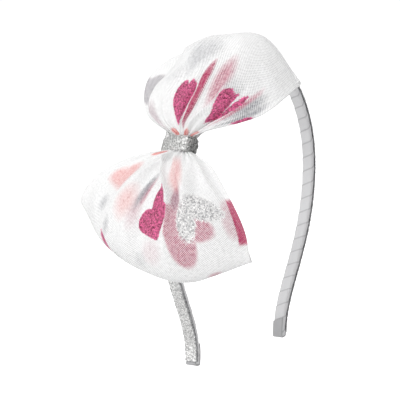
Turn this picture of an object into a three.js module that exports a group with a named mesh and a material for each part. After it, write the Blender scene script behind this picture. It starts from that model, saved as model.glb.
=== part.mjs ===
import * as THREE from "three";

// A child's headband: a slim springy band wound with ribbon, a glitter ribbon along its outer face, and a big
// tulle bow gathered by a glitter wrap on one side. Millimetres, +Z up. The origin is the head side of the band
// at its top centre. The arms lie in the XZ plane, and -Y is the front, the side that the bow leans to.

// The line of one arm, from the top centre down to its tip
const BAND_DROP = 124;
const BAND_HALF_WIDTH = 59.4;
const WIDEST_BELOW_TOP = 54.8;
const TIP_FROM_MIDDLE = 36.2;
const TIP_LEAN = 2.5;
const CROWN_ROUNDNESS = 0.39;
const SHOULDER_ROUNDNESS = 0.63;
const ARM_STRAIGHTNESS = 0.49;
const TIP_STRAIGHTNESS = 0.29;

// The plastic core and the ribbon wound round it, whose laps each end in a small step
const CORE_WIDTH = 3.2;
const CORE_THICKNESS = 1.0;
const CORE_GAP = 0.25;
const CORE_SHORTER_BY = 0.4;
const RIBBON_THICKNESS = 0.45;
const RIBBON_CORNER = 0.45;
const LAP_STEP = 0.18;
const LAP_PITCH = 6.1;
const LAP_SLANT = 0.5;
const LAP_EDGE = 0.35;
const SLANT_FADES_OVER = 4;

// The glitter ribbon on the outer face, and the ribbon ends folded over the two tips
const TRIM_WIDTH = 4.2;
const TRIM_THICKNESS = 0.4;
const TRIM_SPACING = 4.5;
const LAID_GAP = 0.2;
const FOLD_WIDTH = 4.3;
const FOLD_THICKNESS = 0.4;
const FOLD_UP_HEAD_SIDE = 7;
const FOLD_UP_OUTER_SIDE = 1;
const FOLD_CUT_SLANT = 0.45;

// Where the bow's knot sits, and the gathered cloth inside it
const KNOT_FROM_TOP = 70.2;
const KNOT_FORWARD = 7.6;
const KNOT_LENGTH = 6.2;
const KNOT_WALL = 0.9;
const KNOT_BULGE = 0.2;
const KNOT_GAP = 0.3;
const KNOT_ROUNDING = 0.4;
const GATHER_BACK = 3.0;
const GATHER_FRONT = 5.2;
const GATHER_HALF_HEIGHT = 1.9;
const GATHER_NARROWS = 0.45;
const GATHER_RIPPLE = 0.3;
const GATHER_RIPPLES = 2;
const GATHER_END_FROM_MIDDLE = 1;
const SEAT_GAP = 0.5;
const CLOTH = 1.0;

// Each loop is one strip that runs out from the knot, folds back and returns. The lengths of the tables are
// shares of the loop's length and width. Rows of fold go across the cloth, from its back edge to its front
// edge: how far the fold reaches, how far it lifts off the bow's axis, and how much each layer puffs out.
// Rows of edges go out from the knot to the fold: where each layer's back and front edges lie.
const UPPER_LOOP = {
  side: 1,
  lean: -4,
  length: 50,
  width: 42,
  fold: [
    { across: 0.0, reach: 0.84, lift: -0.12, puffOut: 0.11, puffIn: 0.17 },
    { across: 0.25, reach: 0.885, lift: -0.02, puffOut: 0.2, puffIn: 0.15 },
    { across: 0.5, reach: 0.9, lift: 0.02, puffOut: 0.22, puffIn: 0.15 },
    { across: 0.75, reach: 0.905, lift: -0.04, puffOut: 0.15, puffIn: 0.13 },
    { across: 1.0, reach: 0.66, lift: -0.24, puffOut: 0.03, puffIn: 0.06 },
  ],
  edges: [
    { out: 0.1, outerBack: -0.27, outerFront: 0.29, innerBack: -0.3, innerFront: 0.22 },
    { out: 0.25, outerBack: -0.42, outerFront: 0.52, innerBack: -0.52, innerFront: 0.42 },
    { out: 0.5, outerBack: -0.41, outerFront: 0.73, innerBack: -0.67, innerFront: 0.62 },
    { out: 0.75, outerBack: -0.29, outerFront: 0.83, innerBack: -0.68, innerFront: 0.77 },
    { out: 0.92, outerBack: -0.28, outerFront: 0.86, innerBack: -0.52, innerFront: 0.84 },
    { out: 1.0, outerBack: -0.31, outerFront: 0.86, innerBack: -0.31, innerFront: 0.86 },
  ],
  pleats: [
    { across: 0.34, width: 0.07, height: 0.05, reach: 0.9, crisp: 2.0 },
    { across: 0.52, width: 0.07, height: 0.07, reach: 0.8, crisp: 2.0 },
    { across: 0.7, width: 0.06, height: 0.05, reach: 0.75, crisp: 1.8 },
    { across: 0.86, width: 0.05, height: 0.04, reach: 0.8, crisp: 1.6 },
  ],
};
const LOWER_LOOP = {
  side: -1,
  lean: 2,
  length: 54,
  width: 42,
  fold: [
    { across: 0.0, reach: 0.46, lift: -0.12, puffOut: 0.1, puffIn: 0.12 },
    { across: 0.25, reach: 0.775, lift: 0.0, puffOut: 0.22, puffIn: 0.16 },
    { across: 0.5, reach: 0.94, lift: 0.04, puffOut: 0.24, puffIn: 0.16 },
    { across: 0.75, reach: 0.975, lift: 0.0, puffOut: 0.19, puffIn: 0.15 },
    { across: 1.0, reach: 0.755, lift: -0.14, puffOut: 0.04, puffIn: 0.07 },
  ],
  edges: [
    { out: 0.1, outerBack: -0.34, outerFront: 0.33, innerBack: -0.28, innerFront: 0.24 },
    { out: 0.25, outerBack: -0.54, outerFront: 0.47, innerBack: -0.48, innerFront: 0.38 },
    { out: 0.5, outerBack: -0.75, outerFront: 0.65, innerBack: -0.7, innerFront: 0.56 },
    { out: 0.75, outerBack: -0.89, outerFront: 0.79, innerBack: -0.86, innerFront: 0.73 },
    { out: 1.0, outerBack: -1.0, outerFront: 0.88, innerBack: -1.0, innerFront: 0.88 },
  ],
  pleats: [
    { across: 0.3, width: 0.09, height: 0.055, reach: 0.7, crisp: 2.0 },
    { across: 0.5, width: 0.06, height: 0.07, reach: 0.75, crisp: 2.0 },
    { across: 0.72, width: 0.06, height: 0.04, reach: 0.6, crisp: 1.8 },
  ],
};
const ROWS_ROUND_LOOP = 28;
const POINTS_ACROSS_LOOP = 22;
const PUFF_STARTS_SLOWLY = 1.2;
const LIFT_STARTS_SLOWLY = 1.3;
const INNER_PLEAT_SHARE = 0.6;
const PLEATS_GROW_OVER = 0.12;
const DRAPE_SAMPLES = 200;
const DRAPE_MARGIN = 1.2;
const DRAPE_FALL = 0.9;
const DRAPE_SOFTNESS = 0.8;

// Half sizes that several pieces share
const WRAP_HALF_WIDTH = CORE_WIDTH / 2 + CORE_GAP + RIBBON_THICKNESS;
const WRAP_HALF_THICKNESS = CORE_THICKNESS / 2 + CORE_GAP + RIBBON_THICKNESS;
const HEAD_FACE = WRAP_HALF_THICKNESS + LAP_STEP;
const TRIM_UNDERSIDE = HEAD_FACE + LAID_GAP;
const TRIM_TOP = TRIM_UNDERSIDE + TRIM_THICKNESS;
const GATHER_TOP = GATHER_HALF_HEIGHT + GATHER_RIPPLE + CLOTH / 2;
const KNOT_OUTWARD = TRIM_TOP + SEAT_GAP + GATHER_TOP;

const FRONT = new THREE.Vector3(0, -1, 0);
const BACK = new THREE.Vector3(0, 1, 0);

// The band's line, from the left tip over the top to the right tip
function armCurves(side) {
  const at = (x, drop) => new THREE.Vector3(side * x, 0, HEAD_FACE - drop);
  const lower = BAND_DROP - WIDEST_BELOW_TOP;
  const upperArm = [
    at(0, 0),
    at(CROWN_ROUNDNESS * BAND_HALF_WIDTH, 0),
    at(BAND_HALF_WIDTH, (1 - SHOULDER_ROUNDNESS) * WIDEST_BELOW_TOP),
    at(BAND_HALF_WIDTH, WIDEST_BELOW_TOP),
  ];
  const lowerArm = [
    upperArm[3],
    at(BAND_HALF_WIDTH, WIDEST_BELOW_TOP + ARM_STRAIGHTNESS * lower),
    at(TIP_FROM_MIDDLE - TIP_LEAN, BAND_DROP - TIP_STRAIGHTNESS * lower),
    at(TIP_FROM_MIDDLE, BAND_DROP),
  ];
  return [upperArm, lowerArm];
}

function makeBandLine() {
  const [leftUpper, leftLower] = armCurves(-1);
  const [rightUpper, rightLower] = armCurves(1);
  const line = new THREE.CurvePath();
  line.add(new THREE.CubicBezierCurve3(...leftLower.reverse()));
  line.add(new THREE.CubicBezierCurve3(...leftUpper.reverse()));
  line.add(new THREE.CubicBezierCurve3(...rightUpper));
  line.add(new THREE.CubicBezierCurve3(...rightLower));
  return line;
}

const bandLine = makeBandLine();
const BAND_LENGTH = bandLine.getLength();

// The band's middle, its direction and its outward side at a distance from the left tip. Past a tip the line
// runs straight on.
function bandFrame(distance) {
  const inside = THREE.MathUtils.clamp(distance, 0, BAND_LENGTH);
  const share = inside / BAND_LENGTH;
  const along = bandLine.getTangentAt(share);
  const middle = bandLine.getPointAt(share).addScaledVector(along, distance - inside);
  const outward = new THREE.Vector3().crossVectors(along, BACK);
  return { middle, along, outward };
}

function onBand(distance, back, height) {
  const { middle, outward } = bandFrame(distance);
  return middle.addScaledVector(BACK, back).addScaledVector(outward, height);
}

// A closed mesh from rings of points. It is a bar with two flat ends, or with closed set it goes back round
// from the last ring to the first.
function skin(rings, closed = false) {
  const size = rings[0].length;
  const positions = rings.flat().flatMap((point) => point.toArray());
  const triangles = [];
  const quad = (a, b, c, d) => triangles.push(a, b, c, a, c, d);
  const last = closed ? rings.length : rings.length - 1;
  for (let row = 0; row < last; row += 1) {
    const here = row * size;
    const next = ((row + 1) % rings.length) * size;
    for (let k = 0; k < size; k += 1) {
      const beside = (k + 1) % size;
      quad(here + k, here + beside, next + beside, next + k);
    }
  }
  if (!closed) {
    const end = (rings.length - 1) * size;
    for (let k = 0; k < size / 2 - 1; k += 1) {
      const far = size - 1 - k;
      quad(k, far, far - 1, k + 1);
      quad(end + k, end + k + 1, end + far - 1, end + far);
    }
  }
  if (enclosedVolume(positions, triangles) < 0) triangles.reverse();
  const geometry = new THREE.BufferGeometry();
  geometry.setAttribute("position", new THREE.Float32BufferAttribute(positions, 3));
  geometry.setIndex(triangles);
  geometry.computeVertexNormals();
  return geometry;
}

function enclosedVolume(positions, triangles) {
  const corner = [new THREE.Vector3(), new THREE.Vector3(), new THREE.Vector3()];
  let sixTimes = 0;
  for (let k = 0; k < triangles.length; k += 3) {
    corner.forEach((point, j) => point.fromArray(positions, 3 * triangles[k + j]));
    sixTimes += corner[0].dot(corner[1].cross(corner[2]));
  }
  return sixTimes / 6;
}

// A band section with cut corners, as pairs of back and height
function cutRectangle(halfWidth, halfThickness, cut) {
  const quarter = [
    [halfWidth, halfThickness - cut],
    [halfWidth - cut, halfThickness],
  ];
  const mirrored = (list, signBack, signHeight) => list.map(([back, height]) => [back * signBack, height * signHeight]);
  return [
    ...quarter,
    ...mirrored(quarter, -1, 1).reverse(),
    ...mirrored(quarter, -1, -1),
    ...mirrored(quarter, 1, -1).reverse(),
  ];
}

// The ribbon wound round the core: each lap starts proud at its slanted edge and thins down to the next one.
// The cavity holds the core with a small gap and is open at both tips.
function ribbonWrap() {
  const laps = Math.round(BAND_LENGTH / LAP_PITCH);
  const pitch = BAND_LENGTH / laps;
  const ring = (distance, section) => {
    const fromTip = Math.min(distance, BAND_LENGTH - distance);
    const slant = LAP_SLANT * THREE.MathUtils.clamp(fromTip / SLANT_FADES_OVER, 0, 1);
    return section.map(([back, height]) => onBand(distance + slant * back, back, height));
  };
  const section = (growth) =>
    cutRectangle(WRAP_HALF_WIDTH + growth, WRAP_HALF_THICKNESS + growth, RIBBON_CORNER);
  const outside = [];
  const inside = [];
  const cavity = cutRectangle(CORE_WIDTH / 2 + CORE_GAP, CORE_THICKNESS / 2 + CORE_GAP, CORE_GAP);
  for (let lap = 0; lap < laps; lap += 1) {
    outside.push(ring(lap * pitch, section(LAP_STEP)));
    outside.push(ring((lap + 1) * pitch - LAP_EDGE, section(0)));
    inside.push(ring(lap * pitch, cavity));
  }
  outside.push(ring(BAND_LENGTH, section(0)));
  inside.push(ring(BAND_LENGTH, cavity));
  return skin([...outside, ...inside.reverse()], true);
}

function bandCore() {
  const laps = Math.round(BAND_LENGTH / LAP_PITCH);
  const rings = [];
  for (let k = 0; k <= laps; k += 1) {
    const distance = THREE.MathUtils.mapLinear(k, 0, laps, CORE_SHORTER_BY, BAND_LENGTH - CORE_SHORTER_BY);
    rings.push(flatRing(distance, CORE_WIDTH / 2, -CORE_THICKNESS / 2, CORE_THICKNESS / 2));
  }
  return skin(rings);
}

function flatRing(distance, halfWidth, low, high) {
  return [
    onBand(distance, halfWidth, low),
    onBand(distance, halfWidth, high),
    onBand(distance, -halfWidth, high),
    onBand(distance, -halfWidth, low),
  ];
}

// The glitter ribbon lies on the wound band's outer face and stops short of the folded ends
function glitterTrim() {
  const inset = FOLD_UP_OUTER_SIDE + LAID_GAP;
  const steps = Math.round(BAND_LENGTH / TRIM_SPACING);
  const rings = [];
  for (let k = 0; k <= steps; k += 1) {
    const distance = THREE.MathUtils.mapLinear(k, 0, steps, inset, BAND_LENGTH - inset);
    rings.push(flatRing(distance, TRIM_WIDTH / 2, TRIM_UNDERSIDE, TRIM_TOP));
  }
  return skin(rings);
}

// The ribbon's end, folded from the outer face round the tip and up the head side, where its cut edge slants
function tipFold(atRightTip) {
  const height = TRIM_UNDERSIDE + FOLD_THICKNESS / 2;
  const clear = LAID_GAP + FOLD_THICKNESS / 2;
  const route = [
    { pastTip: -FOLD_UP_HEAD_SIDE, height: -height, slant: FOLD_CUT_SLANT },
    { pastTip: -FOLD_UP_HEAD_SIDE / 2, height: -height, slant: 0 },
    { pastTip: 0, height: -height, slant: 0 },
    { pastTip: clear, height: -height / 2, slant: 0 },
    { pastTip: clear, height: height / 2, slant: 0 },
    { pastTip: 0, height, slant: 0 },
    { pastTip: -FOLD_UP_OUTER_SIDE, height, slant: 0 },
  ];
  const place = ({ pastTip, height: h, slant }, back) => {
    const past = pastTip + slant * back;
    return onBand(atRightTip ? BAND_LENGTH + past : -past, back, h);
  };
  const rings = route.map((stop, k) => {
    const before = route[Math.max(k - 1, 0)];
    const after = route[Math.min(k + 1, route.length - 1)];
    const aside = new THREE.Vector2(after.pastTip - before.pastTip, after.height - before.height)
      .normalize()
      .rotateAround(new THREE.Vector2(), Math.PI / 2)
      .multiplyScalar(FOLD_THICKNESS / 2);
    const moved = (sign) => ({
      pastTip: stop.pastTip + sign * aside.x,
      height: stop.height + sign * aside.y,
      slant: stop.slant,
    });
    return [
      place(moved(1), FOLD_WIDTH / 2),
      place(moved(-1), FOLD_WIDTH / 2),
      place(moved(-1), -FOLD_WIDTH / 2),
      place(moved(1), -FOLD_WIDTH / 2),
    ];
  });
  return skin(rings);
}

// The knot's own frame: its middle, the bow's long direction and the way off the head
const knotAt = bandFrame(BAND_LENGTH / 2 - KNOT_FROM_TOP);
const knotMiddle = knotAt.middle
  .clone()
  .addScaledVector(knotAt.outward, KNOT_OUTWARD)
  .addScaledVector(FRONT, KNOT_FORWARD);

// Smooth curve through one column of a table, with each row's slope taken from the rows beside it
function through(table, position, column, x) {
  let k = 0;
  while (k < table.length - 2 && x > table[k + 1][position]) k += 1;
  const slope = (row) => {
    const before = table[Math.max(row - 1, 0)];
    const after = table[Math.min(row + 1, table.length - 1)];
    return (after[column] - before[column]) / (after[position] - before[position]);
  };
  const step = table[k + 1][position] - table[k][position];
  const t = (x - table[k][position]) / step;
  const startWeight = 1 - 3 * t * t + 2 * t * t * t;
  const startSlope = step * (t - 2 * t * t + t * t * t) * slope(k);
  const endSlope = step * (t * t * t - t * t) * slope(k + 1);
  return startWeight * table[k][column] + (1 - startWeight) * table[k + 1][column] + startSlope + endSlope;
}

function pleatHeight(loop, out, t) {
  const grown = THREE.MathUtils.clamp(out / PLEATS_GROW_OVER, 0, 1);
  return loop.pleats.reduce((sum, pleat) => {
    const x = (t - pleat.across) / pleat.width;
    const ridge = Math.exp(-((x > 0 ? x * pleat.crisp : x) ** 2));
    const left = THREE.MathUtils.clamp(1 - out / pleat.reach, 0, 1);
    return sum + pleat.height * loop.length * ridge * grown * left;
  }, 0);
}

// Cloth that would sink into the band lies on it instead, and falls away smoothly on both sides of it
const bandSamples = Array.from({ length: DRAPE_SAMPLES }, (_, k) => bandFrame((BAND_LENGTH * k) / (DRAPE_SAMPLES - 1)));
function drapeOverBand(point) {
  let nearest = bandSamples[0];
  let least = Infinity;
  for (const sample of bandSamples) {
    const apart = (point.x - sample.middle.x) ** 2 + (point.z - sample.middle.z) ** 2;
    if (apart < least) {
      least = apart;
      nearest = sample;
    }
  }
  const height = point.clone().sub(nearest.middle).dot(nearest.outward);
  const beside = Math.max(0, Math.abs(point.y) - WRAP_HALF_WIDTH - LAP_STEP - DRAPE_MARGIN);
  const needed = TRIM_TOP + SEAT_GAP + CLOTH / 2 - DRAPE_FALL * beside;
  const above = height - needed;
  const lifted = (Math.hypot(above, DRAPE_SOFTNESS) - above) / 2;
  return point.addScaledVector(nearest.outward, lifted);
}

// A point of a loop's middle surface. The turn goes from 0 at the knot along the outer layer to half a circle
// at the fold and back along the inner layer, and t goes from the back edge to the front edge.
function loopPoint(loop, turn, t, insideKnot = false) {
  const lean = THREE.MathUtils.degToRad(loop.lean);
  const axis = knotAt.along
    .clone()
    .multiplyScalar(loop.side * Math.cos(lean))
    .addScaledVector(knotAt.outward, Math.sin(lean));
  const off = knotAt.outward
    .clone()
    .multiplyScalar(Math.cos(lean))
    .addScaledVector(knotAt.along, -loop.side * Math.sin(lean));
  const outer = turn <= Math.PI;
  const out = (1 - Math.cos(turn)) / 2;
  const gatherBack = -GATHER_BACK / loop.width;
  const gatherFront = GATHER_FRONT / loop.width;
  const start = {
    out: 0,
    outerBack: gatherBack,
    outerFront: gatherFront,
    innerBack: gatherBack,
    innerFront: gatherFront,
  };
  const edges = [start, ...loop.edges];
  const back = through(edges, "out", outer ? "outerBack" : "innerBack", out);
  const front = through(edges, "out", outer ? "outerFront" : "innerFront", out);
  const across = THREE.MathUtils.lerp(back, front, t) * loop.width;
  const mouth = KNOT_LENGTH / 2;
  const reach = through(loop.fold, "across", "reach", t) * loop.length;
  const along = insideKnot ? GATHER_END_FROM_MIDDLE : mouth + (reach - mouth) * out;
  const puff = through(loop.fold, "across", outer ? "puffOut" : "puffIn", t) * loop.length;
  const puffed = puff * Math.sin(turn) * Math.sin(turn / 2) ** PUFF_STARTS_SLOWLY;
  const gathered = GATHER_HALF_HEIGHT * (1 - GATHER_NARROWS * (2 * t - 1) ** 2) * (1 - out) ** 2;
  const ripple = GATHER_RIPPLE * Math.cos(2 * Math.PI * GATHER_RIPPLES * t) * (1 - out) ** 3;
  const pleat = pleatHeight(loop, out, t);
  const foldLift = through(loop.fold, "across", "lift", t) * loop.length * out ** LIFT_STARTS_SLOWLY;
  const layer = outer ? gathered + ripple + pleat : -gathered - ripple - INNER_PLEAT_SHARE * pleat;
  const point = knotMiddle
    .clone()
    .addScaledVector(axis, along)
    .addScaledVector(FRONT, across)
    .addScaledVector(off, foldLift + puffed + layer);
  return drapeOverBand(point);
}

// One loop as a closed strip: its middle surface, thickened by half the cloth on each side
function bowLoop(loop) {
  const columns = Array.from({ length: POINTS_ACROSS_LOOP }, (_, k) => k / (POINTS_ACROSS_LOOP - 1));
  const turns = Array.from({ length: ROWS_ROUND_LOOP }, (_, k) => (2 * Math.PI * k) / (ROWS_ROUND_LOOP - 1));
  const row = (turn, insideKnot) => columns.map((t) => loopPoint(loop, turn, t, insideKnot));
  const rows = [row(0, true), ...turns.map((turn) => row(turn, false)), row(2 * Math.PI, true)];
  const normal = (i, k) => {
    const lengthwise = rows[Math.min(i + 1, rows.length - 1)][k].clone().sub(rows[Math.max(i - 1, 0)][k]);
    const crosswise = rows[i][Math.min(k + 1, columns.length - 1)].clone().sub(rows[i][Math.max(k - 1, 0)]);
    return lengthwise.cross(crosswise).normalize();
  };
  const side = (i, offset) => rows[i].map((point, k) => point.clone().addScaledVector(normal(i, k), offset));
  const rings = rows.map((_, i) => [...side(i, CLOTH / 2), ...side(i, -CLOTH / 2).reverse()]);
  return skin(rings);
}

// The knot is a wide ring of glitter ribbon, drawn tight round the band and the gathered cloth. Its section is
// the outline that a belt takes round discs at the band's corners and at the two ends of the gathers.
function knotWrap() {
  const bandHalf = WRAP_HALF_WIDTH + LAP_STEP - RIBBON_CORNER;
  const discInset = GATHER_TOP - GATHER_RIPPLE - CLOTH / 2;
  const corner = RIBBON_CORNER + KNOT_GAP;
  const discs = [
    { forward: -bandHalf, height: RIBBON_CORNER - HEAD_FACE, radius: corner },
    { forward: bandHalf, height: RIBBON_CORNER - HEAD_FACE, radius: corner },
    { forward: -bandHalf, height: TRIM_TOP - RIBBON_CORNER, radius: corner },
    { forward: bandHalf, height: TRIM_TOP - RIBBON_CORNER, radius: corner },
    { forward: KNOT_FORWARD - GATHER_BACK + discInset, height: KNOT_OUTWARD, radius: GATHER_TOP + KNOT_GAP },
    { forward: KNOT_FORWARD + GATHER_FRONT - discInset, height: KNOT_OUTWARD, radius: GATHER_TOP + KNOT_GAP },
  ];
  const directions = 24;
  const profile = [
    { along: -0.5, lift: KNOT_GAP / 2 },
    { along: -0.5 + KNOT_ROUNDING / KNOT_LENGTH, lift: KNOT_WALL },
    { along: -0.2, lift: KNOT_WALL + KNOT_BULGE },
    { along: 0.2, lift: KNOT_WALL + KNOT_BULGE },
    { along: 0.5 - KNOT_ROUNDING / KNOT_LENGTH, lift: KNOT_WALL },
    { along: 0.5, lift: KNOT_GAP / 2 },
    { along: 0.5 - KNOT_ROUNDING / KNOT_LENGTH, lift: 0 },
    { along: -0.5 + KNOT_ROUNDING / KNOT_LENGTH, lift: 0 },
  ];
  const rings = profile.map(({ along, lift }) =>
    Array.from({ length: directions }, (_, k) => {
      const angle = (2 * Math.PI * k) / directions;
      const way = new THREE.Vector2(Math.cos(angle), Math.sin(angle));
      const reach = (disc) => disc.forward * way.x + disc.height * way.y + disc.radius;
      const furthest = discs.reduce((best, disc) => (reach(disc) > reach(best) ? disc : best));
      const grown = furthest.radius + lift;
      return knotAt.middle
        .clone()
        .addScaledVector(knotAt.along, along * KNOT_LENGTH)
        .addScaledVector(FRONT, furthest.forward + grown * way.x)
        .addScaledVector(knotAt.outward, furthest.height + grown * way.y);
    }),
  );
  return skin(rings, true);
}

function piece(name, geometry, color, roughness, metalness = 0) {
  const material = new THREE.MeshStandardMaterial({ name, color, roughness, metalness });
  const mesh = new THREE.Mesh(geometry, material);
  mesh.name = name;
  return mesh;
}

const headband = new THREE.Group();
headband.add(
  piece("band_core", bandCore(), 0xe6e4df, 0.45),
  piece("ribbon_wrap", ribbonWrap(), 0xd2d2d4, 0.6),
  piece("glitter_trim", glitterTrim(), 0xb9b9bd, 0.35, 0.6),
  piece("tip_fold_left", tipFold(false), 0xc9c9cc, 0.6),
  piece("tip_fold_right", tipFold(true), 0xc9c9cc, 0.6),
  piece("bow_upper_loop", bowLoop(UPPER_LOOP), 0xf4f3f1, 0.85),
  piece("bow_lower_loop", bowLoop(LOWER_LOOP), 0xf4f3f1, 0.85),
  piece("knot_wrap", knotWrap(), 0xa9a9ad, 0.35, 0.6),
);

export default headband;
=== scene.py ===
# %% [markdown]
# # A headband with a big tulle bow
# The real headband is a springy plastic band wound with light grey ribbon. Silver glitter ribbon is glued along
# its outer face, and on one side a bow of printed tulle is gathered by a short glitter wrap.
# A imported model, called the frame, already holds every piece at its true size. This lesson dresses it: each soft
# piece is modelled again with finer folds, and every surface gets a finish made of shader nodes.
# The frame is loaded first.

# %% Load the frame
import math

import bpy
import numpy as np
from mathutils import Matrix, Vector


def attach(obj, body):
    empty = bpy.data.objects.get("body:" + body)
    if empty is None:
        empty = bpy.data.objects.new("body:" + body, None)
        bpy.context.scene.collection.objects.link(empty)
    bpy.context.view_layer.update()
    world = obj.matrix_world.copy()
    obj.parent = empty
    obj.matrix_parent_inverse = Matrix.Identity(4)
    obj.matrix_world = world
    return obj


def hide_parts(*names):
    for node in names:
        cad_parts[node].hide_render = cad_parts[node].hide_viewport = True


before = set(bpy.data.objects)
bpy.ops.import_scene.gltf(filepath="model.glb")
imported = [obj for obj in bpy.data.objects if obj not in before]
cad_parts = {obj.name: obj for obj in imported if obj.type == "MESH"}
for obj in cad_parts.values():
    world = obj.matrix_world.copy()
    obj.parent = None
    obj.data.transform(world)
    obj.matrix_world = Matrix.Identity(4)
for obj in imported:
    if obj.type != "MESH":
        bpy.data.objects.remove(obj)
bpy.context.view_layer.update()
MM = 0.001
print("nodes in the frame:", ", ".join(sorted(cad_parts)))

# %% [markdown]
# ## The camera
# The photograph was taken from the front left, a little above the band's top, with a long lens. A long lens
# keeps both arms nearly the same size, which is why the far arm doesn't shrink.
# The camera could be dragged into place by eye. Here its direction, distance and lens are written as numbers,
# and it is turned by a matrix whose columns are its own right, up and backward directions.

# %% Camera
CAMERA_AZIMUTH = -59.45
CAMERA_ELEVATION = 6.77
CAMERA_ROLL = 1.08
CAMERA_DISTANCE = 702.5 * MM
CAMERA_AIM = Vector((-33.2, 0, -57.6)) * MM
CAMERA_LENS = 160.9


def direction(azimuth, elevation):
    """The way from the object to a viewer at these angles, in degrees."""
    turn = math.radians(azimuth)
    rise = math.radians(elevation)
    level = math.cos(rise)
    return Vector((math.sin(turn) * level, -math.cos(turn) * level, math.sin(rise)))


backward = direction(CAMERA_AZIMUTH, CAMERA_ELEVATION)
rightward = direction(CAMERA_AZIMUTH + 90, 0)
upward = backward.cross(rightward)
level_turn = Matrix((rightward, upward, backward)).transposed()
camera_turn = level_turn @ Matrix.Rotation(math.radians(CAMERA_ROLL), 3, "Z")
bpy.ops.object.camera_add(
    location=CAMERA_AIM + CAMERA_DISTANCE * backward,
    rotation=camera_turn.to_euler(),
)
camera = bpy.context.object
camera.data.lens = CAMERA_LENS
camera.data.clip_start = 0.05
camera.data.clip_end = 20
bpy.context.scene.camera = camera
print("camera stands at", [round(x, 3) for x in camera.location])

# %% [markdown]
# ## Small helpers for shader nodes
# Each finish below is a net of nodes. Adding and joining nodes by hand in code repeats itself, so these helpers
# make one node, feed its inputs from a value or from another node, and give back the output that is wanted.
# They only save typing: the nodes are the same ones that the shader editor's Add menu offers.

# %% Node helpers
MIX_SOCKETS = {"FLOAT": (2, 3, 0), "VECTOR": (4, 5, 1), "RGBA": (6, 7, 2)}


def node(tree, kind, **settings):
    made = tree.nodes.new(kind)
    for name, value in settings.items():
        setattr(made, name, value)
    return made


def feed(tree, socket, source):
    if isinstance(source, bpy.types.NodeSocket):
        tree.links.new(source, socket)
    else:
        socket.default_value = source


def maths(tree, operation, *sources):
    made = node(tree, "ShaderNodeMath", operation=operation)
    for socket, source in zip(made.inputs, sources):
        feed(tree, socket, source)
    return made.outputs[0]


def vector_maths(tree, operation, *sources):
    made = node(tree, "ShaderNodeVectorMath", operation=operation)
    for socket, source in zip(made.inputs, sources):
        feed(tree, socket, source)
    return made.outputs[0]


def mix(tree, kind, share, first, second):
    made = node(tree, "ShaderNodeMix", data_type=kind)
    low, high, result = MIX_SOCKETS[kind]
    feed(tree, made.inputs[0], share)
    feed(tree, made.inputs[low], first)
    feed(tree, made.inputs[high], second)
    return made.outputs[result]


def ramp(tree, value, low, high, start=0.0, end=1.0):
    """A smooth step from start to end as value goes from low to high."""
    made = node(tree, "ShaderNodeMapRange", interpolation_type="SMOOTHSTEP")
    for socket, source in zip(made.inputs, (value, low, high, start, end)):
        feed(tree, socket, source)
    return made.outputs[0]


def separate(tree, vector):
    made = node(tree, "ShaderNodeSeparateXYZ")
    feed(tree, made.inputs[0], vector)
    return made.outputs


def new_group(name, takes, gives):
    """A node group with named sockets, given as (name, type) or (name, type, starting value)."""
    group = bpy.data.node_groups.new(name, "ShaderNodeTree")
    for in_out, sockets in (("INPUT", takes), ("OUTPUT", gives)):
        for label, kind, *start in sockets:
            socket = group.interface.new_socket(label, in_out=in_out, socket_type="NodeSocket" + kind)
            if start:
                socket.default_value = start[0]
    return group, group.nodes.new("NodeGroupInput").outputs, group.nodes.new("NodeGroupOutput").inputs


def place_group(tree, group, **sources):
    """A copy of a group in a material. A source's name is its socket's, with _ for a space."""
    made = node(tree, "ShaderNodeGroup", node_tree=group)
    for name, source in sources.items():
        feed(tree, made.inputs[name.replace("_", " ")], source)
    return made.outputs


def new_material(name):
    material = bpy.data.materials.new(name)
    material.use_nodes = True
    return material, material.node_tree, material.node_tree.nodes["Principled BSDF"].inputs


# %% [markdown]
# ## Floor and light
# The photograph is a shop picture: the background is pure white and there is no shadow. The light comes mostly
# from the left, because the glitter is bright on its left side and dark on its right.
# A white floor lies just under the tips. It glows a little, but only for the camera, so that it looks as white as
# the background without lighting the headband from below.
# The world does the same: the camera sees white, and the headband is lit by a dimmer grey. Three large area lights
# stand for the soft boxes of the studio.

# %% Floor
FLOOR_HEIGHT = -126.0 * MM
FLOOR_SIZE = 6.0
FLOOR_GLOW = 0.55

bpy.ops.object.select_all(action="DESELECT")
bpy.ops.mesh.primitive_plane_add(size=FLOOR_SIZE, location=(0, 0, FLOOR_HEIGHT))
floor = bpy.context.object
floor.name = "studio_floor"
floor_material, floor_tree, floor_inputs = new_material("studio_white")
floor_inputs["Base Color"].default_value = (0.9, 0.9, 0.9, 1)
floor_inputs["Roughness"].default_value = 0.9
floor_inputs["Emission Color"].default_value = (1, 1, 1, 1)
floor_ray = node(floor_tree, "ShaderNodeLightPath").outputs["Is Camera Ray"]
feed(floor_tree, floor_inputs["Emission Strength"], maths(floor_tree, "MULTIPLY", floor_ray, FLOOR_GLOW))
floor.data.materials.append(floor_material)
print("floor lies at", round(FLOOR_HEIGHT / MM, 1), "mm")

# %% World and studio lights
SKY_SEEN = 1.05
SKY_LIGHT = 0.7

world = bpy.data.worlds.new("studio_air")
bpy.context.scene.world = world
world.use_nodes = True
sky = world.node_tree
sky.nodes.clear()
seen = node(sky, "ShaderNodeBackground")
seen.inputs["Strength"].default_value = SKY_SEEN
lit = node(sky, "ShaderNodeBackground")
lit.inputs["Strength"].default_value = SKY_LIGHT
for background in (seen, lit):
    background.inputs["Color"].default_value = (1, 1, 1, 1)
choose = node(sky, "ShaderNodeMixShader")
feed(sky, choose.inputs[0], node(sky, "ShaderNodeLightPath").outputs["Is Camera Ray"])
feed(sky, choose.inputs[1], lit.outputs[0])
feed(sky, choose.inputs[2], seen.outputs[0])
feed(sky, node(sky, "ShaderNodeOutputWorld").inputs["Surface"], choose.outputs[0])

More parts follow.
